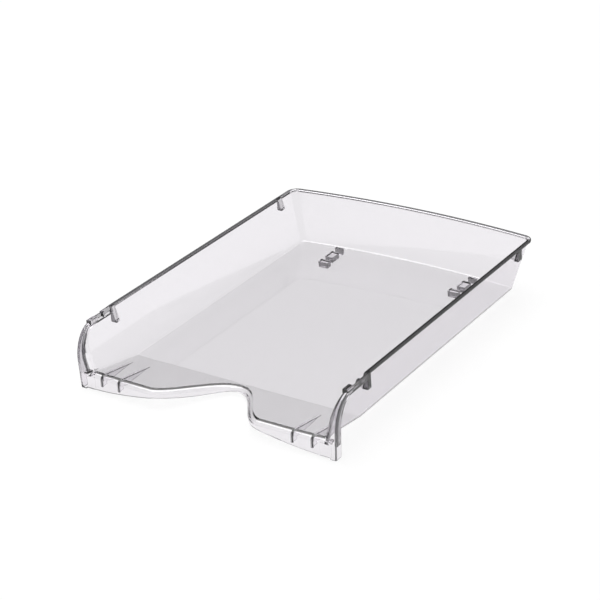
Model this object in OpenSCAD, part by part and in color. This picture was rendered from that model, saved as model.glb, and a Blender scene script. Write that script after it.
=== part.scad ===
// Stackable desk letter tray moulded in clear plastic.
// Frame: +X right, +Y rear, +Z up. The finger notch is in the front (-Y) edge.
// Origin: centre of the footprint, on the table.

/* [Overall] */
// Outside width across the two side rails
tray_w = 254; // [248:1:262]
// Outside depth, front skirt to rear rim
tray_d = 335; // [328:1:345]
// Height of the rails above the table
tray_h = 54.4; // [52:0.2:60]
// Moulding thickness of floor, walls, ramp and skirt
wall_t = 2; // [1.8:0.1:2.4]

/* [Floor and ramp] */
// Clear height under the floor panel
floor_lift = 5.8; // [5:0.1:7]
// Length of the front ramp, crease to skirt
ramp_len = 58; // [55:0.5:60]
// Rise of the ramp for each mm forward
ramp_slope = 0.165; // [0.14:0.005:0.18]

/* [Walls and rim] */
// Outward lean of the side walls for each mm of height
side_lean = 0.28; // [0.24:0.01:0.3]
// Outward lean of the rear wall for each mm of height
rear_lean = 0.22; // [0.18:0.01:0.24]
// Backward bow of the rear wall between the corners
rear_bow = 9; // [7:0.5:11]
// Inside radius of the rear corners at the rim
corner_r = 6.6; // [6:0.2:8]
// Width of the flat rail on top of the walls
rim_w = 3.8; // [3.6:0.1:4.4]
// Thickness of the rail
rim_t = 1.8; // [1.6:0.1:2]

/* [Front edge] */
// How far the finger notch is cut back from the front
notch_depth = 49.4; // [44:0.2:51]
// Half of the width of the finger notch
notch_half_w = 54; // [52:1:60]
// Outer radius of the rolled lip above the skirt
lip_r = 4.6; // [4:0.2:5]
// Clear height under the skirt in the middle of the notch
notch_gap = 3.2; // [2.6:0.2:4]
// Clear height under the skirt at the two lobes
arch_gap = 9; // [8:0.1:9.6]
// Setback of the front posts behind the lobes
post_setback = 1.5; // [1:0.1:2]

/* [Front posts] */
// Depth of the post return that faces sideways, at its foot
post_return = 8; // [6:0.2:9]
// Depth of the post return under the pad
return_drop = 4.8; // [4:0.2:5.4]
// Width of the post's foot where it stands on the table
post_foot_w = 5.5; // [5:0.5:7]
// Radius of the post shoulder, measured front to back
shoulder_d = 23; // [20:0.5:24]
// Height of the straight part of the post
post_straight = 24; // [20:0.5:26]
// Drop of the post pad below the rails
pad_drop = 2; // [1.6:0.1:2.4]

/* [Stacking seats] */
// Distance from the post's face to the rear end of the seat pad
pad_reach = 26.7; // [26:0.1:28]
// Width of the seat pad on top of the post
pad_w = 5.2; // [4.8:0.1:6]
// Length of the seat pad
pad_l = 9.4; // [8:0.2:11]
// Depth of the cut-out in the rail behind the pad
seat_depth = 4.6; // [4:0.2:5]
// Clear length of the cut-out between pad and lug
seat_front_l = 8.1; // [7:0.1:9]
// Thickness of the lug that stands across the cut-out
lug_t = 2.5; // [2:0.1:3]
// Clear length of the cut-out between lug and rail
seat_rear_l = 9.5; // [8:0.1:11]
// Length of the front rib under the rail
front_rib_l = 4.8; // [4:0.2:6]
// Height of the front rib below the rail
front_rib_h = 13.6; // [12:0.2:15]
// Distance from the rear of the tray to the rear rib
rear_rib_inset = 37.7; // [36:0.1:40]
// Length of the rear rib under the rail
rear_rib_l = 6; // [5:0.2:8]
// Height of the rear rib below the rail
rear_rib_h = 10.4; // [9:0.2:12]

/* [Feet and gussets] */
// Distance of the rear feet from the side of the tray
foot_inset = 57.5; // [54:0.5:61]
// Width of the rear feet
foot_w = 8; // [7:0.5:10]
// Thickness of the gussets under the ramp
gusset_t = 1.6; // [1.4:0.1:2]
// Distance of the inner gussets from the side of the tray
gusset_in_inset = 42.3; // [38:0.1:45]
// Distance of the outer gussets from the side of the tray
gusset_out_inset = 24.4; // [23:0.1:28]

/* [Hidden] */
$fn = 96;

half_w = tray_w / 2;
front_y = -tray_d / 2;
rear_y = tray_d / 2;
floor_z = floor_lift + wall_t;
crease_y = front_y + ramp_len;
post_y = front_y + post_setback;
rail_z = tray_h - rim_t;

// Rear bow: every rear face turns about one vertical axis
bow_r = (half_w * half_w + rear_bow * rear_bow) / (2 * rear_bow);
bow_y = rear_y - bow_r;

// Corner radius shrinks towards the floor because both walls lean
corner_low_r = corner_r - 2;
corner_steps = 12;

// Skirt and lip stations
skirt_steps = 72;
lip_steps = 6;
gap_end = 1.2;
arch_x = 50;
notch_flat_w = 16;
skirt_fall = 1.5;
lobe_end_x = notch_half_w + 3;

// Rail cut-out at the stacking seat, measured back from the post
pad_end_y = post_y + pad_reach;
lug_y = pad_end_y + seat_front_l;
rail_start_y = lug_y + lug_t + seat_rear_l;
rear_rib_y = rear_y - rear_rib_inset;
rib_out_x = half_w - 0.5;
seat_z = tray_h - seat_depth;
pad_step = 0.6;
edge_t = 1.4;
foot_x = half_w - foot_inset;
foot_front_y = rear_y - 49;
foot_middle_y = rear_y - 33.5;
foot_rear_y = rear_y - 19.2;
foot_front_l = 6;
foot_middle_l = 12.2;
foot_rear_l = 3.6;
foot_front_in = 1.5;
foot_rear_out = 1;
foot_step_w = 2;
gusset_in_x = half_w - gusset_in_inset;
gusset_out_x = half_w - gusset_out_inset;
gusset_low_z = 5.6;
gusset_start = 16;

function side_in(z) = half_w - rim_w - side_lean * (tray_h - z);
function rear_in(z) = bow_r - rim_w - rear_lean * (tray_h - z);
function post_out(z) = half_w - 0.04 * (tray_h - z);
function ramp_z(y) = floor_z + ramp_slope * (crease_y - y);
// Rear corner at one height: radius, centre and reach from the bow axis
function corner_rad(z) = corner_low_r + (corner_r - corner_low_r) * (z - floor_z) / (tray_h - floor_z);
function corner_x(z) = side_in(z) - corner_rad(z);
function corner_reach(z) = rear_in(z) - corner_rad(z);
function corner_y(z) = bow_y + sqrt(pow(corner_reach(z), 2) - pow(corner_x(z), 2));
function corner_sweep(z) = 90 - asin(corner_x(z) / corner_reach(z));
function blend(t) = (1 - cos(180 * min(1, max(0, t)))) / 2;

// Plan curve of the skirt: a deep finger notch between two flat lobes
skirt_end_x = side_in(ramp_z(post_y + lip_r));
function skirt_y(x) = let (a = abs(x))
    front_y + notch_depth * (1 - blend(a / notch_half_w))
    + post_setback * pow(max(0, a - lobe_end_x) / (skirt_end_x - lobe_end_x), 2);
function skirt_dir(x) = let (d = 0.05, s = (skirt_y(x + d) - skirt_y(x - d)) / (2 * d))
    abs(x) > skirt_end_x - 0.01 ? [0, -1] : [s, -1] / sqrt(1 + s * s);
function skirt_gap(x) = let (a = abs(x))
    a < arch_x ? notch_gap + (arch_gap - notch_gap) * blend((a - notch_flat_w) / (arch_x - notch_flat_w))
    : gap_end + (arch_gap - gap_end) * pow(max(0, (skirt_end_x - a) / (skirt_end_x - arch_x)), skirt_fall);
function skirt_x(i) = skirt_end_x * (2 * i / skirt_steps - 1);

// The lip rolls out of the ramp and turns down into the skirt
function lip_angle(x) = atan(-ramp_slope * skirt_dir(x)[1]);
function lip_width(x) = lip_r * (1 + sin(lip_angle(x)));
function lip_edge(x) = [x, skirt_y(x)] - lip_width(x) * skirt_dir(x);

// One skirt section, from the ramp edge over the lip, down and back up inside
function skirt_section(x) =
    let (n = skirt_dir(x), e = lip_edge(x), z0 = ramp_z(e[1]), a = lip_angle(x),
         c = lip_r * sin(a), cz = z0 - lip_r * cos(a), q = lip_r - wall_t * cos(a), g = skirt_gap(x))
    concat(
        [for (i = [0 : lip_steps]) let (t = (90 + a) * (1 - i / lip_steps), u = c + lip_r * cos(t))
            [e[0] + u * n[0], e[1] + u * n[1], cz + lip_r * sin(t)]],
        [for (u = [c + lip_r, c + q]) [e[0] + u * n[0], e[1] + u * n[1], g]],
        [for (i = [0 : lip_steps]) let (t = (90 + a) * i / lip_steps, u = c + q * cos(t))
            [e[0] + u * n[0], e[1] + u * n[1], cz + q * sin(t)]],
        [[e[0], e[1], z0 - wall_t]]);

// Plan section of a rear corner at one height, side wall end to rear wall end
bow_angle = asin((corner_x(floor_z) - 0.5) / corner_reach(floor_z));
function corner_section(z) =
    let (r = corner_rad(z), c = [corner_x(z), corner_y(z)], sweep = corner_sweep(z), p = r + wall_t)
    concat(
        [for (i = [0 : corner_steps]) let (a = sweep * i / corner_steps)
            [c[0] + r * cos(a), c[1] + r * sin(a), z]],
        [for (q = [rear_in(z), rear_in(z) + wall_t])
            [q * sin(bow_angle), bow_y + q * cos(bow_angle), z]],
        [for (i = [0 : corner_steps]) let (a = sweep * (1 - i / corner_steps))
            [c[0] + p * cos(a), c[1] + p * sin(a), z]]);

// Skin through a row of closed sections with equal point counts
module skin(sections) {
    n = len(sections[0]);
    m = len(sections);
    sides = [for (j = [0 : m - 2], i = [0 : n - 1], k = [0, 1]) let (i2 = (i + 1) % n)
        k == 0 ? [j * n + i, j * n + i2, (j + 1) * n + i2]
        : [j * n + i, (j + 1) * n + i2, (j + 1) * n + i]];
    caps = [[for (i = [n - 1 : -1 : 0]) i], [for (i = [0 : n - 1]) (m - 1) * n + i]];
    polyhedron(points = [for (s = sections, p = s) p], faces = concat(sides, caps), convexity = 8);
}

module clear_plastic() {
    color([0.72, 0.73, 0.78, 0.55]) children();
}

// Extrude a (y, z) outline along X, centred
module side_view(width) {
    rotate([90, 0, 90]) translate([0, 0, -width / 2]) linear_extrude(height = width) children();
}

// Extrude an (x, z) outline along Y from y0 to y1
module front_view(y0, y1) {
    translate([0, y1, 0]) rotate([90, 0, 0]) linear_extrude(height = y1 - y0) children();
}

// Rail outline: a flat strip with softened top edges, x from the wall face
module rail_outline(lean) {
    polygon([[-lean * rim_t, rail_z], [-lean * 0.4, tray_h - 0.4], [0.4, tray_h],
             [rim_w - 0.6, tray_h], [rim_w - 0.15, tray_h - 0.2], [rim_w, tray_h - 0.6],
             [rim_w, rail_z]]);
}

// Outer side view of a post: straight foot and an elliptical shoulder
function post_path(inset, drop) = let (rise = tray_h - pad_drop - post_straight)
    [for (i = [0 : 16]) let (a = 90 * i / 16)
        [post_y + shoulder_d - (shoulder_d - inset) * cos(a),
         post_straight + (rise - drop) * sin(a)]];

module post_band(depth, drop, end_y) {
    inner = post_path(depth, drop);
    polygon(concat([[post_y, 0]], post_path(0, 0),
                   [[end_y, tray_h - pad_drop], [end_y, tray_h - pad_drop - drop]],
                   [for (i = [16 : -1 : 0]) inner[i]], [[post_y + depth, 0]]));
}

module floor_panel() {
    rim = [for (p = corner_section(floor_z)) [p[0], p[1]]];
    n = len(rim);
    half = [for (i = [corner_steps + 2 : n - 1]) rim[i]];
    ro = rear_in(floor_z) + wall_t;
    edge = side_in(floor_z) + wall_t;
    clear_plastic() translate([0, 0, floor_lift]) linear_extrude(height = wall_t)
        polygon(concat([[edge, crease_y], [-edge, crease_y]],
                       [for (i = [len(half) - 1 : -1 : 0]) [-half[i][0], half[i][1]]],
                       [for (a = [-bow_angle + 1 : 1 : bow_angle - 1])
                           [ro * sin(a), bow_y + ro * cos(a)]],
                       half));
}

module front_ramp() {
    corner_z = ramp_z(post_y + wall_t);
    far = side_in(corner_z) + wall_t;
    near = side_in(floor_z) + wall_t;
    back_y = post_y + wall_t;
    outline = concat([[near, crease_y], [-near, crease_y], [-far, back_y], [-skirt_end_x, back_y]],
                     [for (i = [0 : skirt_steps]) lip_edge(skirt_x(i))],
                     [[skirt_end_x, back_y], [far, back_y]]);
    clear_plastic() intersection() {
        linear_extrude(height = tray_h) polygon(outline);
        side_view(tray_w) polygon([[crease_y, floor_lift], [crease_y, floor_z],
                                   [front_y, ramp_z(front_y)], [front_y, ramp_z(front_y) - wall_t]]);
    }
}

module front_skirt() {
    clear_plastic() skin([for (i = [0 : skirt_steps]) skirt_section(skirt_x(i))]);
}

// Side wall: a leaning sheet trimmed to the ramp, the post and the rail
module right_side_wall() {
    back_y = post_y + wall_t;
    inner = post_path(wall_t, wall_t);
    pad_z = tray_h - pad_drop - wall_t;
    clear_plastic() intersection() {
        front_view(front_y, rear_y)
            polygon([[side_in(0), 0], [side_in(0) + wall_t, 0],
                     [side_in(tray_h) + wall_t, tray_h], [side_in(tray_h), tray_h]]);
        side_view(2 * tray_w)
            polygon(concat([[corner_y(floor_z), floor_z], [crease_y, floor_z],
                            [back_y, ramp_z(back_y)]],
                           inner,
                           [[pad_end_y, pad_z], [pad_end_y, seat_z], [rail_start_y, seat_z],
                            [rail_start_y, rail_z], [corner_y(rail_z), rail_z]]));
    }
}

module left_side_wall() {
    mirror([1, 0, 0]) right_side_wall();
}

module turned_about_bow(sweep) {
    translate([0, bow_y, 0]) rotate([0, 0, 90 - sweep / 2]) rotate_extrude(angle = sweep, $fn = 720)
        children();
}

module rear_wall() {
    clear_plastic() turned_about_bow(2 * bow_angle)
        polygon([[rear_in(floor_z), floor_z], [rear_in(floor_z) + wall_t, floor_z],
                 [rear_in(rail_z) + wall_t, rail_z], [rear_in(rail_z), rail_z]]);
}

module right_rear_corner() {
    clear_plastic() skin([corner_section(floor_z), corner_section(rail_z)]);
}

module left_rear_corner() {
    mirror([1, 0, 0]) right_rear_corner();
}

module right_rail() {
    clear_plastic() {
        translate([half_w - rim_w, 0, 0]) front_view(rail_start_y, corner_y(tray_h))
            rail_outline(side_lean);
        translate([corner_x(tray_h), corner_y(tray_h), 0])
            rotate_extrude(angle = corner_sweep(tray_h))
                translate([corner_r, 0]) rail_outline(side_lean);
        seat_edge();
    }
}

// Floor of the seat, level with the cut-down wall, under the rail's edge that runs on to the pad
module seat_edge() {
    low = seat_z - rim_t;
    front_view(pad_end_y, rail_start_y)
        polygon([[side_in(low) + wall_t, low], [side_in(seat_z) + wall_t, seat_z],
                 [half_w - edge_t, seat_z], [half_w - edge_t, rail_z + rim_t / 2],
                 [half_w, rail_z + rim_t / 2], [half_w, low]]);
    front_view(pad_end_y, rail_start_y + rim_w) intersection() {
        translate([half_w - rim_w, 0]) rail_outline(side_lean);
        translate([half_w - edge_t, rail_z]) square([edge_t, rim_t]);
    }
}

module left_rail() {
    mirror([1, 0, 0]) right_rail();
}

module rear_rim() {
    clear_plastic() turned_about_bow(2 * (90 - corner_sweep(tray_h)))
        translate([rear_in(tray_h), 0]) rail_outline(rear_lean);
}

// Front post: a face in line with the skirt and a return that faces sideways
module right_front_post() {
    foot_in = post_out(0) - post_foot_w;
    face_z = ramp_z(post_y + lip_r);
    clear_plastic() post_pad();
    clear_plastic() intersection() {
        front_view(front_y, pad_end_y)
            polygon([[foot_in, 0], [post_out(0), 0], [post_out(tray_h), tray_h],
                     [side_in(tray_h), tray_h], [skirt_end_x, face_z], [skirt_end_x, gap_end],
                     [foot_in, gap_end]]);
        union() {
            side_view(2 * tray_w) post_band(wall_t, wall_t, pad_end_y);
            intersection() {
                side_view(2 * tray_w) post_band(post_return, return_drop, pad_end_y);
                front_view(front_y, pad_end_y)
                    polygon([[post_out(0) - wall_t, 0], [post_out(0), 0],
                             [post_out(tray_h), tray_h], [post_out(tray_h) - wall_t, tray_h]]);
            }
        }
    }
}

// Seat on top of the post for the foot of the tray above
module post_pad() {
    low = tray_h - pad_drop - wall_t;
    top = tray_h - pad_step;
    front_view(pad_end_y - pad_l, pad_end_y)
        polygon([[half_w - pad_w, low], [post_out(low) - 0.2, low], [post_out(top) - 0.2, top - 0.3],
                 [post_out(top) - 0.5, top], [half_w - pad_w + 0.3, top], [half_w - pad_w, top - 0.3]]);
}

module left_front_post() {
    mirror([1, 0, 0]) right_front_post();
}

// Upright rib outside a side wall, under the rail
module outer_rib(y0, length, height) {
    z0 = rail_z - height;
    clear_plastic() front_view(y0, y0 + length)
        polygon([[side_in(z0) + wall_t, z0], [rib_out_x - 0.8, z0], [rib_out_x, z0 + 0.8],
                 [rib_out_x, rail_z], [side_in(rail_z) + wall_t, rail_z]]);
}

module right_front_rib() {
    outer_rib(rail_start_y, front_rib_l, front_rib_h);
}

module left_front_rib() {
    mirror([1, 0, 0]) right_front_rib();
}

module right_rear_rib() {
    outer_rib(rear_rib_y, rear_rib_l, rear_rib_h);
}

module left_rear_rib() {
    mirror([1, 0, 0]) right_rear_rib();
}

// Thin lug that stands across the seat, level with the rail
module right_seat_lug() {
    top = tray_h - 0.2;
    clear_plastic() front_view(lug_y, lug_y + lug_t)
        polygon([[side_in(seat_z), seat_z], [half_w - edge_t, seat_z], [half_w - edge_t, top],
                 [side_in(top) + 0.8, top], [side_in(top), top - 0.8]]);
}

module left_seat_lug() {
    mirror([1, 0, 0]) right_seat_lug();
}

// Triangular gusset between the underside of the ramp and the back of the skirt
module ramp_gusset(x) {
    y0 = crease_y - gusset_start;
    y1 = skirt_y(x) + lip_width(x);
    clear_plastic() translate([x, 0, 0]) side_view(gusset_t)
        polygon([[y0, ramp_z(y0) - wall_t], [y1, ramp_z(y1) - wall_t], [y1, gusset_low_z]]);
}

module left_outer_gusset() {
    ramp_gusset(-gusset_out_x);
}

module left_inner_gusset() {
    ramp_gusset(-gusset_in_x);
}

module right_inner_gusset() {
    ramp_gusset(gusset_in_x);
}

module right_outer_gusset() {
    ramp_gusset(gusset_out_x);
}

// Rear foot: a small tapered block below the floor
module rear_foot(x, y, width, length) {
    clear_plastic() translate([x, y, 0]) front_view(-length / 2, length / 2)
        polygon([[-width / 2 + 0.5, 0], [width / 2 - 0.5, 0], [width / 2, 0.5],
                 [width / 2, floor_lift], [-width / 2, floor_lift], [-width / 2, 0.5]]);
}

module left_foot_front() {
    rear_foot(-foot_x + foot_front_in, foot_front_y, foot_w + foot_step_w, foot_front_l);
}

module left_foot_middle() {
    rear_foot(-foot_x, foot_middle_y, foot_w, foot_middle_l);
}

module left_foot_rear() {
    rear_foot(-foot_x - foot_rear_out, foot_rear_y, foot_w, foot_rear_l);
}

module right_foot_front() {
    rear_foot(foot_x - foot_front_in, foot_front_y, foot_w + foot_step_w, foot_front_l);
}

module right_foot_middle() {
    rear_foot(foot_x, foot_middle_y, foot_w, foot_middle_l);
}

module right_foot_rear() {
    rear_foot(foot_x + foot_rear_out, foot_rear_y, foot_w, foot_rear_l);
}

floor_panel();
front_ramp();
front_skirt();
left_side_wall();
right_side_wall();
rear_wall();
left_rear_corner();
right_rear_corner();
left_rail();
right_rail();
rear_rim();
left_front_post();
right_front_post();
left_front_rib();
right_front_rib();
left_rear_rib();
right_rear_rib();
left_seat_lug();
right_seat_lug();
left_outer_gusset();
left_inner_gusset();
right_inner_gusset();
right_outer_gusset();
left_foot_front();
left_foot_middle();
left_foot_rear();
right_foot_front();
right_foot_middle();
right_foot_rear();
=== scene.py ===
import math
import bpy
import bmesh
from mathutils import Matrix, Vector


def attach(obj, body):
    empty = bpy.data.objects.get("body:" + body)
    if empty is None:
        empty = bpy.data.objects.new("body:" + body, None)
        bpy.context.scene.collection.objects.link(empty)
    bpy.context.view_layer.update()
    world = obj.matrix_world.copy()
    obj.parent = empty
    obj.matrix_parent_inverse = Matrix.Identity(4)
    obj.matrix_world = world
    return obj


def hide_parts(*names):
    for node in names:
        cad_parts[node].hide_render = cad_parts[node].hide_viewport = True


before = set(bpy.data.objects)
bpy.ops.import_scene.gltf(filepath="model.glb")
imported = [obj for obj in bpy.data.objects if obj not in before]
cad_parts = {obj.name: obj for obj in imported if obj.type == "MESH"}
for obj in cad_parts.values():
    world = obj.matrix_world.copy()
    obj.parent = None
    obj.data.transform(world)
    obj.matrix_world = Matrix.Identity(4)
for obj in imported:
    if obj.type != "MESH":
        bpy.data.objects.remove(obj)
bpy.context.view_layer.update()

# Sizes in millimetres, as in the part's source
W, D, H, T = 254.0, 335.0, 54.4, 2.0
FLOOR_Z = 7.8
HALF, FRONT, REAR = W / 2, -D / 2, D / 2
CREASE = FRONT + 58.0
SLOPE = 0.165
SIDE_LEAN, REAR_LEAN, BOW = 0.28, 0.22, 9.0
RIM_W, RIM_T, EDGE_T = 3.8, 1.8, 1.4
CORNER_R = 6.6
POST_Y = FRONT + 1.5
LIP_R = 4.6
BOW_R = (HALF ** 2 + BOW ** 2) / (2 * BOW)
BOW_Y = REAR - BOW_R - 0.025
FILLET_IN, FILLET_OUT, ROOT = 1.8, 2.6, 0.6    # floor to wall inside and outside, wall to rail
NOTCH_DEPTH, NOTCH_HALF, NOTCH_END = 49.4, 54.0, 57.0
CORNER_SWEEP = 1.5                            # how far the front runs back at its two ends
ARCH_X, ARCH_END, ARCH_RISE = 50.0, 1.2, 7.8  # gap between the skirt's lower edge and the table
ARCH_MID, ARCH_FLAT, ARCH_SPAN, ARCH_STEP = 3.2, 16.0, 34.0, 5.8
PAD_END = POST_Y + 26.7
LUG_Y = PAD_END + 8.1
LUG_T = 2.5
RAIL_A = LUG_Y + LUG_T + 9.5
SEAT_Z = H - 4.6
RETURN, RETURN_DROP = 8.0, 4.8
BEND_R = 8.0
SHOULDER_Z, SHOULDER_R = 24.0, 23.0           # where the post starts to turn back, and how far it turns
PAD_W, PAD_L, PAD_LOW = 5.2, 9.4, 50.1
FRONT_RIB = (RAIL_A, 4.8, 13.6)               # start, length, height
REAR_RIB = (REAR - 37.7, 6.0, 10.4)
GUSSET_X = (84.7, 102.6)
GUSSET_T, GUSSET_ROOT_T, GUSSET_RUN, GUSSET_LOW = 1.4, 2.0, 16.0, 5.6
ROOT_TOP, ROOT_LOW = 1.6, 3.1                 # depth of a gusset's root below the skin
FOOT_Z = 1.2
FEET = ((68.0, REAR - 49.0, 10.0, 6.0), (69.5, REAR - 33.5, 8.0, 12.2), (70.5, REAR - 19.2, 8.0, 3.6))


def side_in(z):
    return HALF - RIM_W - SIDE_LEAN * (H - z)


def rear_in(z):
    return BOW_R - RIM_W - REAR_LEAN * (H - z)


def corner_r(z):
    return CORNER_R - 2.0 + 2.0 * (z - FLOOR_Z) / (H - FLOOR_Z)


def corner(z):
    r = corner_r(z)
    cx = side_in(z) - r
    d = rear_in(z) - r
    return cx, BOW_Y + math.sqrt(d * d - cx * cx), r, math.asin(cx / d)


def post_out(z):
    return HALF - 0.04 * (H - z)


def ramp_z(y):
    return FLOOR_Z + SLOPE * max(0.0, CREASE - y)


def blend(t):
    return (1 - math.cos(math.pi * min(1.0, max(0.0, t)))) / 2


END_X = side_in(ramp_z(POST_Y + LIP_R))


def skirt_y(x):
    a = abs(x)
    t = max(0.0, a - NOTCH_END) / (END_X - NOTCH_END)
    return FRONT + NOTCH_DEPTH * (1 - blend(a / NOTCH_HALF)) + CORNER_SWEEP * t * t


def skirt_dir(x):
    s = (skirt_y(x + 0.05) - skirt_y(x - 0.05)) / 0.1
    n = math.hypot(1, s)
    return s / n, -1 / n


def skirt_gap(x):
    a = abs(x)
    if a < ARCH_X:
        return ARCH_MID + ARCH_STEP * blend((a - ARCH_FLAT) / ARCH_SPAN)
    return ARCH_END + ARCH_RISE * max(0.0, (END_X - a) / (END_X - ARCH_X)) ** 1.5


def lip_section(x, straight=False):
    """Outer then inner points of one section, from the ramp over the lip to the skirt's edge and back."""
    nx, ny = (0.0, -1.0) if straight else skirt_dir(x)
    a = math.atan(-SLOPE * ny)
    w = LIP_R * (1 + math.sin(a))
    ex, ey = x - w * nx, skirt_y(x) - w * ny
    z0 = ramp_z(ey)
    c, cz = LIP_R * math.sin(a), z0 - LIP_R * math.cos(a)
    q = LIP_R - T * math.cos(a)
    g = skirt_gap(x)
    out = []
    side = c + LIP_R
    handles = [(0.0, z0), (0.7 * math.cos(a), z0 + 0.7 * math.sin(a)), (side, cz + 2.9), (side, cz)]
    for i in range(15):
        t = i / 14
        k = ((1 - t) ** 3, 3 * t * (1 - t) ** 2, 3 * t * t * (1 - t), t ** 3)
        out.append(tuple(sum(k[j] * handles[j][e] for j in range(4)) for e in (0, 1)))
    r = (LIP_R - q) / 2
    m = c + LIP_R - r
    for i in range(7):
        t = math.pi * i / 6
        out.append((m + r * math.cos(t), g + r - r * math.sin(t)))
    for i in range(15):
        t = (math.pi / 2 + a) * i / 14
        out.append((c + q * math.cos(t), cz + q * math.sin(t)))
    out.append((0.0, z0 - T))
    return [(ex + u * nx, ey + u * ny, z) for u, z in out]


def wall_profile(zf):
    """Closed profile of wall and rail: (z, offset, from_rim). Starts on the floor, ends below it."""
    p = []
    for i in range(9):
        t = math.pi / 2 * i / 8
        p.append((zf + FILLET_IN * (1 - math.cos(t)), -FILLET_IN * (1 - math.sin(t)), False))
    for k in (0.25, 0.5, 0.75):
        p.append((zf + FILLET_IN + (H - 1.2 - zf - FILLET_IN) * k, 0.0, False))
    for i in range(5):
        t = math.pi / 2 * i / 4
        p.append((H - 0.8 * (1 - math.sin(t)), 0.8 * (1 - math.cos(t)) - 0.22 * (1 - math.sin(t)), True))
    p.append((H, RIM_W - 1.1, True))
    for i in range(6):
        t = math.pi / 2 * i / 5
        p.append((H - 0.35 * (1 - math.cos(t)), RIM_W - 0.35 * (1 - math.sin(t)), True))
    p.append((H - RIM_T + 0.2, RIM_W, True))
    p.append((H - RIM_T, RIM_W - 0.2, True))
    p.append((H - RIM_T - ROOT * 0.5, (RIM_W + T - 0.5) / 2, True))
    p.append((H - RIM_T - ROOT, T, False))
    zu = zf - T
    for k in (0.75, 0.5, 0.25):
        p.append((zu + FILLET_OUT + (H - RIM_T - zu - FILLET_OUT) * k, T, False))
    for i in range(9):
        t = math.pi / 2 * (1 - i / 8)
        p.append((zu + FILLET_OUT * (1 - math.cos(t)), T - FILLET_OUT * (1 - math.sin(t)), False))
    p.append((zu, None, False))
    return p


def mesh_from(bm, name):
    bmesh.ops.recalc_face_normals(bm, faces=bm.faces)
    me = bpy.data.meshes.new(name)
    bm.to_mesh(me)
    bm.free()
    me.transform(Matrix.Scale(0.001, 4))
    o = bpy.data.objects.new(name, me)
    bpy.context.scene.collection.objects.link(o)
    return o


def loft(sections, name):
    """Closed skin through a row of closed sections with equal point counts."""
    bm = bmesh.new()
    rows = [[bm.verts.new(p) for p in s] for s in sections]
    n = len(rows[0])
    for a, b in zip(rows, rows[1:]):
        for i in range(n):
            j = (i + 1) % n
            bm.faces.new((a[i], a[j], b[j], b[i]))
    bm.faces.new(rows[0][::-1])
    bm.faces.new(rows[-1])
    return mesh_from(bm, name)


# Main shell: floor, ramp, walls, rail, lip and skirt in one closed skin
xe = 109.5
for _ in range(20):
    ye = skirt_y(xe) + LIP_R * (1 + math.sin(math.atan(SLOPE)))
    xe = side_in(ramp_z(ye)) - FILLET_IN


def bend(depth, r):
    """How far the wall has turned outwards at a depth behind the post's face."""
    return 0.0 if depth >= r else r - math.sqrt(r * r - (r - depth) ** 2)


def side_station(y, sx):
    zf = ramp_z(y)
    turn = bend(y - POST_Y, BEND_R)
    turn += 0.03 if turn else 0.0
    row = []
    for z, w, rim in wall_profile(zf):
        if w is None:
            x = side_in(zf) - FILLET_IN
        elif rim:
            x = side_in(H) + w
        else:
            x = side_in(z) + w + turn * min(1.0, (w + FILLET_IN) / FILLET_IN)
        row.append((sx * x, y, z))
    return row


def corner_station(f, sx):
    row = []
    for z, w, rim in wall_profile(FLOOR_Z):
        cx, cy, r, d = corner(FLOOR_Z if w is None else H if rim else z)
        if w is None:
            w = -FILLET_IN
        a = f * (math.pi / 2 - d)
        row.append((sx * (cx + (r + w) * math.cos(a)), cy + (r + w) * math.sin(a), z))
    return row


def rear_station(t):
    row = []
    for z, w, rim in wall_profile(FLOOR_Z):
        zz = FLOOR_Z if w is None else H if rim else z
        d = corner(zz)[3] * t
        R = rear_in(zz) + (-FILLET_IN if w is None else w)
        row.append((R * math.sin(d), BOW_Y + R * math.cos(d), z))
    return row


ys = [ye, ye + 0.7, ye + 1.4, ye + 2.1, POST_Y + BEND_R + 0.1]
for i in range(2, 11):
    ys.append(ye + (CREASE - ye) * i / 10)
crease_row = len(ys) - 1
cy0 = min(corner(FLOOR_Z)[1], corner(H)[1])
for i in range(1, 26):
    ys.append(CREASE + (cy0 - 3 - CREASE) * i / 25)
stations = []
for yy in ys:
    stations.append(side_station(yy, 1))
for i in range(0, 13):
    stations.append(corner_station(i / 12, 1))
for i in range(1, 28):
    stations.append(rear_station(1 - 2 * i / 28))
for i in range(12, -1, -1):
    stations.append(corner_station(i / 12, -1))
for yy in reversed(ys):
    stations.append(side_station(yy, -1))
bm = bmesh.new()
rows = [[bm.verts.new(p) for p in s] for s in stations]
n = len(rows[0])
for a, b in zip(rows, rows[1:]):
    for i in range(n - 1):
        bm.faces.new((a[i], a[i + 1], b[i + 1], b[i]))
flat = rows[crease_row:len(rows) - crease_row]
bm.faces.new([r[0] for r in flat])
bm.faces.new([r[-1] for r in flat][::-1])
LIP_STEPS = 150
lips = []
for i in range(LIP_STEPS + 1):
    pts = lip_section(xe * (2 * i / LIP_STEPS - 1), straight=i in (0, LIP_STEPS))
    row = [bm.verts.new(p) for p in pts[1:-1]]
    wall = rows[-1] if i == 0 else rows[0] if i == LIP_STEPS else None
    if wall:
        lips.append([wall[0]] + row + [wall[-1]])
    else:
        lips.append([bm.verts.new(pts[0])] + row + [bm.verts.new(pts[-1])])
for a, b in zip(lips, lips[1:]):
    for i in range(len(a) - 1):
        bm.faces.new((a[i], a[i + 1], b[i + 1], b[i]))
for e in (0, -1):
    bm.faces.new([r[e] for r in rows[:crease_row + 1] + rows[len(rows) - 1 - crease_row:] + lips[1:-1]])
for row in (rows[0], rows[-1], lips[0], lips[-1]):
    bm.faces.new(row)
shell = mesh_from(bm, "tray_moulding")


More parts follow.
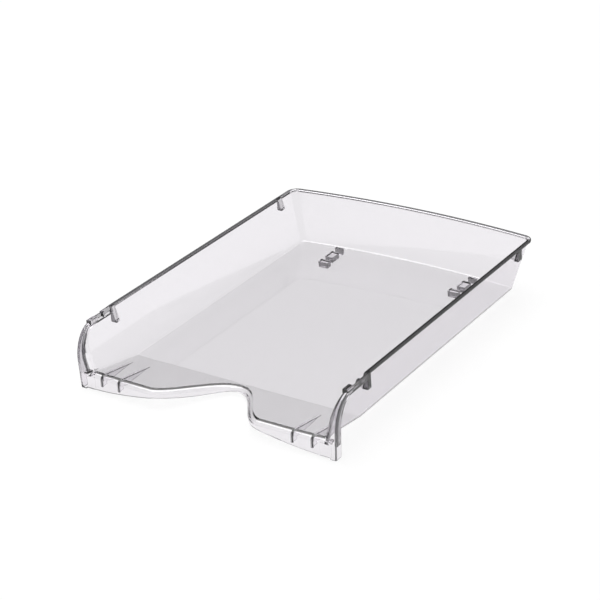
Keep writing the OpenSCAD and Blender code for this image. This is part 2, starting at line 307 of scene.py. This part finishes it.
def prism(points, lo, hi, axis, name, bevel=0.0):
    """Closed prism of a 2-D outline along an axis, its edges softened when a bevel is given."""
    bm = bmesh.new()

    def at(p, v):
        return {"x": (v, p[0], p[1]), "y": (p[0], v, p[1]), "z": (p[0], p[1], v)}[axis]
    a = [bm.verts.new(at(p, lo)) for p in points]
    b = [bm.verts.new(at(p, hi)) for p in points]
    for i in range(len(a)):
        j = (i + 1) % len(a)
        bm.faces.new((a[i], a[j], b[j], b[i]))
    bm.faces.new(a[::-1])
    bm.faces.new(b)
    bmesh.ops.recalc_face_normals(bm, faces=bm.faces)
    if bevel:
        edges = [e for e in bm.edges if e.calc_face_angle(0) > 0.5]
        bmesh.ops.bevel(bm, geom=edges, offset=bevel, segments=3, profile=0.5, affect="EDGES",
                        clamp_overlap=True)
    return mesh_from(bm, name)


def drop_at(depth):
    return depth if depth < T else T + (depth - T) * (RETURN_DROP - T) / (RETURN - T)


def post_point(s, depth):
    """Point (y, z) at a depth behind the post's outer edge; s runs up the foot, round the shoulder, back."""
    kind, v = s
    drop = drop_at(depth)
    if kind == "foot":
        return POST_Y + depth, v
    if kind == "turn":
        y = POST_Y + SHOULDER_R - (SHOULDER_R - depth) * math.cos(v)
        return y, SHOULDER_Z + (H - 2 - SHOULDER_Z - drop) * math.sin(v)
    return v, H - 2 - drop


def bend_radius(s):
    z = post_point(s, 2.0)[1]
    return min(BEND_R, post_out(post_point(s, 0.0)[1]) - side_in(z) - 2.3)


def post_loft(sx):
    path = [("foot", 11.7), ("foot", 15.2), ("foot", 19.5)]
    path += [("turn", math.pi / 2 * i / 22) for i in range(23)]
    path += [("top", PAD_END - 1.5), ("top", PAD_END)]
    quarter = [math.pi / 2 * i / 8 for i in range(9)]
    sections = []
    for s in path:
        R = bend_radius(s)
        stub = R + 2.5
        outline = [("w", 0.01, stub)]
        outline += [("w", max(0.01, R * (1 - math.cos(t))), R * (1 - math.sin(t))) for t in quarter]
        outline += [("o", -1 + math.sin(t), 1 - math.cos(t)) for t in [math.pi / 2 * i / 5 for i in range(6)]]
        outline += [("o", 0, 3.4), ("o", 0, RETURN - 0.9), ("o", -0.26, RETURN - 0.26), ("o", -0.9, RETURN)]
        outline += [("o", -2.0, RETURN)]
        outline += [("o", -2.64, RETURN - 0.26), ("o", -2.9, RETURN - 0.9)]
        outline += [("o", -1.8, 2.25), ("o", -2.05, 2.0)]
        r = R - T
        outline += [("w", R - r * math.sin(t) - 0.01, R - r * math.cos(t)) for t in quarter]
        outline += [("w", T - 0.01, stub)]
        low = s == path[0]
        row = []
        for kind, dx, d in outline:
            if low and kind == "w" and d > T:
                outer = dx < R - math.sqrt(max(0.0, (R - T / 2) ** 2 - (R - min(d, R)) ** 2))
                d = T + (d - T) * (4.2 - T) / (stub - T)
                dx = bend(d, R) + 0.01 if outer else R - math.sqrt((R - T) ** 2 - (R - d) ** 2)
            y, z = post_point(s, d)
            x = side_in(z) + dx if kind == "w" else post_out(z) + dx
            row.append((sx * x, y, z))
        sections.append(row)
    return loft(sections, "post")


def post_foot(sx, x0, z0, z1):
    rows = []
    for z in (z0, z0 + 0.35, z1):
        e = 0.3 if z == z0 else 0.0
        xo = post_out(z) - e
        pts = [(x0, e), (xo - 1, e)]
        pts += [(xo - 1 + math.sin(t), e + 1 - math.cos(t))
                for t in [math.pi / 2 * i / 5 for i in range(1, 6)]]
        pts += [(xo, RETURN - 0.9), (xo - 0.26, RETURN - 0.26 - e), (xo - 0.9, RETURN - e)]
        pts += [(xo - 1.54 + e, RETURN - 0.26 - e), (xo - 1.8 + e, RETURN - 0.9)]
        pts += [(xo - 1.8 + e, 2.25), (xo - 2.05 + e, 2.0 - e), (x0, 2.0 - e)]
        rows.append([(sx * x, POST_Y + d, z) for x, d in pts])
    return loft(rows, "post_foot")


def rib(sx, y0, length, height):
    z0, top = H - RIM_T - height, H - RIM_T + 0.3
    pts = [(side_in(z0) + 1.0, z0), (HALF - 1.0, z0), (HALF - 0.5, z0 + 0.5), (HALF - 0.5, top),
           (side_in(top) + 1.0, top)]
    return prism([(sx * x, z) for x, z in pts], y0, y0 + length, "y", "rib", 0.35)


def seat_edge(sx, y0, y1, top):
    x1, low = HALF - 0.06, SEAT_Z - RIM_T
    pts = [(side_in(low) + 1.0, low), (x1 - 0.3, low), (x1, low + 0.3), (x1, top - 0.3), (x1 - 0.3, top),
           (HALF - EDGE_T + 0.3, top), (HALF - EDGE_T, top - 0.3), (HALF - EDGE_T, SEAT_Z + 0.3),
           (HALF - EDGE_T - 0.3, SEAT_Z), (side_in(SEAT_Z) + 1.0, SEAT_Z - 0.01)]
    return prism([(sx * x, z) for x, z in pts], y0, y1, "y", "seat_edge")


def lug(sx):
    top, r = H - 0.2, 1.2
    x0, x1 = side_in(H) + 0.1, HALF - EDGE_T + 0.4
    pts = [(side_in(SEAT_Z) + 0.05, SEAT_Z - 0.6), (x1, SEAT_Z - 0.6), (x1, top)]
    pts += [(x0 + r - r * math.sin(t), top - r + r * math.cos(t))
            for t in [math.pi / 2 * i / 5 for i in range(6)]]
    return prism([(sx * x, z) for x, z in pts], LUG_Y, LUG_Y + LUG_T, "y", "lug", 0.3)


def gusset(x):
    y0 = CREASE - GUSSET_RUN
    sy = skirt_y(x)
    pts = [(y0, ramp_z(y0) - 1.7), (sy + 5.2, ramp_z(sy + 5.2) - 1.7), (sy + 3.0, ramp_z(sy) - 3.2),
           (sy + 1.6, ramp_z(sy) - 6.0), (sy + 1.6, GUSSET_LOW), (sy + 2.4, GUSSET_LOW),
           (y0, ramp_z(y0) - 2.3)]
    return prism(pts, x - GUSSET_T / 2, x + GUSSET_T / 2, "x", "gusset", 0.25)


def gusset_root(x):
    """Thicker root of a gusset along the ramp, round the lip and down the skirt."""
    y0, a = CREASE - GUSSET_RUN, math.atan(SLOPE)
    y1 = skirt_y(x) + LIP_R * (1 + math.sin(a))
    cy, cz = y1 - LIP_R * math.sin(a), ramp_z(y1) - LIP_R * math.cos(a)
    outer, inner = [(y0, ramp_z(y0) - 1.7)], [(y0, ramp_z(y0) - 2.6)]
    for i in range(9):
        t = (math.pi / 2 + a) * (1 - i / 8)
        for r, row in ((LIP_R - ROOT_TOP, outer), (LIP_R - ROOT_LOW, inner)):
            row.append((cy - r * math.cos(t), cz + r * math.sin(t)))
    outer.append((cy - LIP_R + ROOT_TOP, GUSSET_LOW))
    inner.append((cy - LIP_R + ROOT_LOW, GUSSET_LOW))
    half = GUSSET_ROOT_T / 2
    return prism(outer + inner[::-1], x - half, x + half, "x", "gusset_root")


def foot(x, y, w, l):
    rows = []
    for z, e in ((0, 0.7), (0.2, 0.3), (0.7, 0.05), (6.1, -0.1)):
        a, b, c = w / 2 - e, l / 2 - e, 0.7
        pts = []
        for qx, qy, t0 in ((1, 1, 0), (-1, 1, 90), (-1, -1, 180), (1, -1, 270)):
            for i in range(4):
                t = math.radians(t0 + 30 * i)
                pts.append((x + qx * (a - c) + c * math.cos(t), y + qy * (b - c) + c * math.sin(t), z))
        rows.append(pts)
    return loft(rows, "foot")


# Shoulder and seat cut-outs in the shell, then everything grows together into one moulding
cut = [(POST_Y + BEND_R + 0.2, 19.2)]
for i in range(23):
    shoulder = ("turn", math.pi / 2 * i / 22)
    cut.append(post_point(shoulder, bend_radius(shoulder) + 0.2))
cut += [(PAD_END, cut[-1][1]), (PAD_END, SEAT_Z), (RAIL_A, SEAT_Z), (RAIL_A, 90), (-180, 90), (-180, 19.2)]
cutter = prism(cut, -150, 150, "x", "cutter")
grow = []
for sx in (-1, 1):
    grow.append(post_loft(sx))
    grow.append(post_foot(sx, xe - 1, FOOT_Z, 11.9))
    grow.append(post_foot(sx, 119.5, 0.0, 1.6))
    sec = lip_section(xe, straight=True)
    grow.append(loft([[(sx * x, p[1], p[2]) for p in sec] for x in (xe - 0.3, 120.9)], "lip_end"))
    x0, x1 = sorted((sx * (HALF - PAD_W), sx * (post_out(H) - 0.2)))
    pad = [(x0, PAD_END - PAD_L), (x1, PAD_END - PAD_L), (x1, PAD_END), (x0, PAD_END)]
    grow.append(prism(pad, PAD_LOW, H - 0.6, "z", "pad", 0.4))
    grow.append(seat_edge(sx, PAD_END - 0.8, LUG_Y + 1.0, H - 1.2))
    grow.append(seat_edge(sx, LUG_Y + 0.5, RAIL_A + 0.8, H - 0.12))
    grow.append(rib(sx, *FRONT_RIB))
    grow.append(rib(sx, *REAR_RIB))
    grow.append(lug(sx))
    for gx in GUSSET_X:
        grow.append(gusset(sx * gx))
        grow.append(gusset_root(sx * gx))
    for x, y, w, l in FEET:
        grow.append(foot(sx * x, y, w, l))


def combine(target, other, op):
    m = target.modifiers.new("join", "BOOLEAN")
    m.operation, m.solver, m.object = op, "MANIFOLD", other
    bpy.context.view_layer.update()
    dg = bpy.context.evaluated_depsgraph_get()
    new = bpy.data.meshes.new_from_object(target.evaluated_get(dg))
    target.modifiers.remove(m)
    old = target.data
    target.data = new
    bpy.data.meshes.remove(old)
    bpy.data.objects.remove(other)


combine(shell, cutter, "DIFFERENCE")
for g in grow:
    combine(shell, g, "UNION")

me = shell.data
me.name = "tray_moulding"
bm = bmesh.new()
bm.from_mesh(me)
bmesh.ops.remove_doubles(bm, verts=bm.verts, dist=1e-6)
bmesh.ops.dissolve_degenerate(bm, edges=bm.edges, dist=1e-6)
bm.to_mesh(me)
bm.free()
me.polygons.foreach_set("use_smooth", [True] * len(me.polygons))


def post_depth(y, z):
    """Depth behind the post's outer edge of a point (y, z)."""
    if z < SHOULDER_Z:
        return y - POST_Y
    lo, hi = 0.0, 14.0
    for _ in range(24):
        d = (lo + hi) / 2
        a = max(0.0, POST_Y + SHOULDER_R - y) / (SHOULDER_R - d)
        b = (z - SHOULDER_Z) / (H - 2 - SHOULDER_Z - drop_at(d))
        lo, hi = (d, hi) if a * a + b * b < 1 else (lo, d)
    return lo


# Strengths of the painted shade that darkens narrow edges, in place of the dark look that refraction gives
# them in clear plastic
BLACK, DARK, MID, PALE = 0.97, 0.9, 0.6, 0.45


def painted_edge_shade(face):
    """How much painted shade darkens a face: rail, seats, ribs, posts, feet, gussets."""
    x, y, z = (v * 1000 for v in face.center)
    x = abs(x)
    n = face.normal
    w = x - side_in(z)
    rear = math.hypot(x, y - BOW_Y) - rear_in(H)
    if z < 5.75 and y > REAR - 60 and abs(n.z) < 0.5:
        return 0.75
    if z > SEAT_Z + 0.1 and PAD_END - 10 < y < RAIL_A and w > -0.3:
        return BLACK if abs(n.y) > 0.6 else 0.0 if n.z > 0.6 else PALE
    rim = max(x - HALF, rear - RIM_W)
    if z > H - RIM_T - 0.1 and rim > -3.2 and (y > RAIL_A - 0.1 or rim > -1.2):
        if n.z > 0.6:
            return BLACK if rim < -1.2 else MID
        return BLACK if rim > -0.3 or n.z < -0.6 and rim < -0.9 else MID
    if 38 < z < H - RIM_T and w > T + 0.05 and RAIL_A - 1 < y < REAR - 30:
        return 0.8 if abs(n.y) > 0.5 or n.z < -0.5 else 0.3
    if z < ramp_z(y) - T - 0.03 and any(0.72 < abs(x - g) < 1.05 for g in GUSSET_X):
        return 0.95
    if z < SHOULDER_Z and w > 1.0 and post_out(z) - x < 1.05 and y - POST_Y < 1.05:
        return BLACK
    if y < PAD_END and z > ramp_z(POST_Y) - 4.5:
        d = post_depth(y, z)
        edge = post_out(z) - x
        if w > 1.0 and (edge < 1.2 and d < 1.0 or edge < 0.1 and d < 3.4):
            return BLACK
        if w > 1.0 and edge < 0.1 and d < RETURN - 1.0:
            return 0.4
        if w > 1.0 and edge < 3.0 and RETURN - 1.0 < d < RETURN + 0.5:
            return MID
        r = min(BEND_R, edge + w - 2.3)
        if 0.45 * r < w < 0.7 * r and d < r - 0.2 and z > ramp_z(POST_Y) - 2.5:
            return DARK
    return 0.0


# Painted shade on narrow edges, stored per face for the material
tint = me.attributes.new("painted_edge_shade", "FLOAT", "FACE")
tint.data.foreach_set("value", [painted_edge_shade(f) for f in me.polygons])
me.set_sharp_from_angle(angle=math.radians(28))
for e in me.edges:
    ends = [me.vertices[v].co * 1000 for v in e.vertices]
    if all(abs(p.y - CREASE) < 0.02 and p.z < FLOOR_Z + 0.7 for p in ends):
        e.use_edge_sharp = True
wn = shell.modifiers.new("flat_faces", "WEIGHTED_NORMAL")
wn.keep_sharp = True
wn.weight = 60

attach(shell, "root")
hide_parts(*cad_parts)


# Clear, very slightly smoky moulded plastic, with painted dark shade on its narrow edges
mat = bpy.data.materials.new("clear_plastic")
mat.use_nodes = True
nt = mat.node_tree
bsdf = nt.nodes["Principled BSDF"]
out = nt.nodes["Material Output"]
# Painted shade: the per-face value mixes the smoky tone towards near black on narrow edges
edge_shade_attr = nt.nodes.new("ShaderNodeAttribute")
edge_shade_attr.attribute_name = "painted_edge_shade"
shade = nt.nodes.new("ShaderNodeMix")
shade.data_type = "RGBA"
shade.inputs["A"].default_value = (0.895, 0.880, 0.902, 1)
shade.inputs["B"].default_value = (0.03, 0.03, 0.033, 1)
nt.links.new(edge_shade_attr.outputs["Fac"], shade.inputs["Factor"])
nt.links.new(shade.outputs["Result"], bsdf.inputs["Base Color"])
bsdf.inputs["Transmission Weight"].default_value = 1.0
bsdf.inputs["IOR"].default_value = 1.55
bsdf.inputs["Roughness"].default_value = 0.0
coord = nt.nodes.new("ShaderNodeTexCoord")
fine = nt.nodes.new("ShaderNodeTexNoise")
fine.inputs["Scale"].default_value = 55.0
fine.inputs["Detail"].default_value = 3.0
ramp = nt.nodes.new("ShaderNodeMapRange")
ramp.inputs["From Min"].default_value = 0.35
ramp.inputs["From Max"].default_value = 0.7
ramp.inputs["To Min"].default_value = 0.0
ramp.inputs["To Max"].default_value = 0.035
nt.links.new(coord.outputs["Object"], fine.inputs["Vector"])
nt.links.new(fine.outputs["Fac"], ramp.inputs["Value"])
nt.links.new(ramp.outputs["Result"], bsdf.inputs["Roughness"])
vol = nt.nodes.new("ShaderNodeVolumeAbsorption")
vol.inputs["Color"].default_value = (0.88, 0.862, 0.888, 1)
vol.inputs["Density"].default_value = 125.0
nt.links.new(vol.outputs["Volume"], out.inputs["Volume"])
shell.data.materials.clear()
shell.data.materials.append(mat)


# Stage: pale floor, a softbox, white backdrop through the floor's own colour
def stage_floor():
    bpy.ops.mesh.primitive_circle_add(vertices=96, radius=30.0, fill_type="NGON", location=(0, 0, -0.0002))
    f = bpy.context.object
    f.name = "floor"
    m = bpy.data.materials.new("floor_white")
    m.use_nodes = True
    t = m.node_tree
    t.nodes.clear()
    o = t.nodes.new("ShaderNodeOutputMaterial")
    d = t.nodes.new("ShaderNodeBsdfDiffuse")
    d.inputs["Color"].default_value = (0.9, 0.9, 0.9, 1)
    e = t.nodes.new("ShaderNodeEmission")
    e.inputs["Strength"].default_value = 1.0
    lp = t.nodes.new("ShaderNodeLightPath")
    m1 = t.nodes.new("ShaderNodeMath")
    m1.operation = "MAXIMUM"
    m2 = t.nodes.new("ShaderNodeMath")
    m2.operation = "MAXIMUM"
    m3 = t.nodes.new("ShaderNodeMath")
    m3.operation = "MULTIPLY"
    m3.inputs[1].default_value = 0.88
    mix = t.nodes.new("ShaderNodeMixShader")
    t.links.new(lp.outputs["Is Camera Ray"], m1.inputs[0])
    t.links.new(lp.outputs["Is Transmission Ray"], m1.inputs[1])
    t.links.new(m1.outputs[0], m2.inputs[0])
    t.links.new(lp.outputs["Is Glossy Ray"], m2.inputs[1])
    t.links.new(m2.outputs[0], m3.inputs[0])
    t.links.new(m3.outputs[0], mix.inputs["Fac"])
    t.links.new(d.outputs[0], mix.inputs[1])
    t.links.new(e.outputs[0], mix.inputs[2])
    t.links.new(mix.outputs[0], o.inputs["Surface"])
    f.data.materials.append(m)


stage_floor()
world = bpy.data.worlds.new("studio")
bpy.context.scene.world = world
world.use_nodes = True
wt = world.node_tree
sky_dir = wt.nodes.new("ShaderNodeTexCoord").outputs["Generated"]


def graded(value, steps):
    """Grey ramp over a value between 0 and 1."""
    node = wt.nodes.new("ShaderNodeValToRGB")
    ramp = node.color_ramp
    while len(ramp.elements) < len(steps):
        ramp.elements.new(0.5)
    for element, (pos, v) in zip(ramp.elements, steps):
        element.position, element.color = pos, (v, v, v, 1)
    wt.links.new(value, node.inputs[0])
    return node.outputs["Color"]


def vector_math(op, a, b=None):
    node = wt.nodes.new("ShaderNodeVectorMath")
    node.operation = op
    wt.links.new(a, node.inputs[0])
    if b is not None:
        node.inputs[1].default_value = b
    return node.outputs["Value" if op == "DOT_PRODUCT" else "Vector"]


height = vector_math("DOT_PRODUCT", sky_dir, (0, 0, 1))
level = vector_math("NORMALIZE", vector_math("MULTIPLY", sky_dir, (1, 1, 0)))
behind = vector_math("DOT_PRODUCT", level, (-0.572, 0.82, 0))
overhead = graded(height, [(0.0, 0.03), (0.6, 0.04), (0.8, 0.5), (0.92, 1.0), (1.0, 1.0)])
band = graded(height, [(0.0, 0.06), (0.3, 0.06), (0.4, 0.25), (0.52, 0.25), (0.6, 0.0)])
window = graded(behind, [(0.0, 0.0), (0.8, 0.0), (0.93, 1.0)])
ahead = graded(vector_math("DOT_PRODUCT", level, (0.3, -0.954, 0)), [(0.0, 0.0), (0.3, 0.0), (0.6, 1.0)])
front = graded(height, [(0.0, 0.0), (0.35, 0.0), (0.55, 0.9), (1.0, 1.0)])
front_light = vector_math("MULTIPLY", front)
wt.links.new(ahead, front_light.node.inputs[1])
brighter = vector_math("MAXIMUM", overhead)
wt.links.new(front_light, brighter.node.inputs[1])
sky = vector_math("ADD", brighter)
wt.links.new(vector_math("MULTIPLY", band), sky.node.inputs[1])
wt.links.new(window, sky.node.inputs[1].links[0].from_node.inputs[1])
wt.links.new(sky, wt.nodes["Background"].inputs["Color"])
wt.nodes["Background"].inputs["Strength"].default_value = 1.0


def softbox(name, loc, target, sx, sy, power):
    l = bpy.data.lights.new(name, "AREA")
    l.shape = "RECTANGLE"
    l.size, l.size_y, l.energy = sx, sy, power
    o = bpy.data.objects.new(name, l)
    o.location = loc
    o.rotation_euler = (Vector(target) - Vector(loc)).to_track_quat("-Z", "Y").to_euler()
    bpy.context.scene.collection.objects.link(o)


softbox("key", (-0.4, 0.2, 2.0), (0, 0, 0), 2.4, 2.4, 50)

# Camera at the photograph's viewing angle, solved from measured points
az, el, roll = math.radians(34.906), math.radians(26.268), math.radians(3.497)
right = Vector((math.cos(az), math.sin(az), 0))
back = Vector((math.sin(az) * math.cos(el), -math.cos(az) * math.cos(el), math.sin(el)))
down = right.cross(back)
r2 = math.cos(roll) * right + math.sin(roll) * down
d2 = -math.sin(roll) * right + math.cos(roll) * down
f_px, shift_x, shift_y, dist = 1876.98, 7.978, 8.113, 1589.26
target = Vector((0, -9.05, 30.0))
loc = target - shift_x * r2 - shift_y * d2 + dist * back
cam = bpy.data.cameras.new("camera")
cam_o = bpy.data.objects.new("camera", cam)
bpy.context.scene.collection.objects.link(cam_o)
rot = Matrix((r2, -d2, back)).transposed()
cam_o.matrix_world = Matrix.Translation(loc * 0.001) @ rot.to_4x4()
cam.sensor_width = 36.0
cam.lens = f_px / 600 * 36.0
cam.clip_start, cam.clip_end = 0.01, 50
bpy.context.scene.camera = cam_o

bpy.context.scene.view_settings.view_transform = "Standard"
